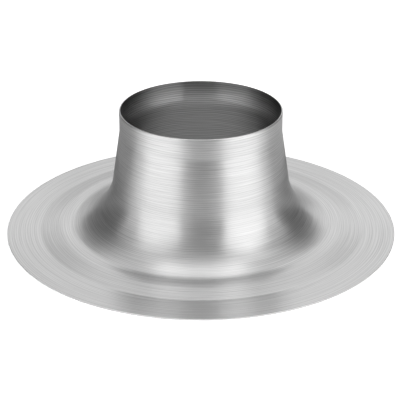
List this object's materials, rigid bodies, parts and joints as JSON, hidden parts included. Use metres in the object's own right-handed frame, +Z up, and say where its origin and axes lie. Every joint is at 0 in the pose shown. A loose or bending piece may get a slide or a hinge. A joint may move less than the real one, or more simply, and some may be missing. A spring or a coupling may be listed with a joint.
{
  "type": "flashing plate",
  "caption": "Spun aluminium flashing plate: a round flat flange with a low step, flaring up through a slight cone to a short straight collar around a pipe.",
  "frame": {"origin": "on the axis, at the level of the underside of the outer flange, which lies on the roof", "axes": "+Z up along the collar's axis, from the flange to the rim; X and Y lie in the roof's plane"},
  "size_m": [0.325, 0.325, 0.104],
  "materials": {
    "spun_aluminium": "satin, with fine spinning lines round the axis"
  },
  "bodies": {
    "root": {"flashing_plate": "spun_aluminium"}
  },
  "joints": []
}
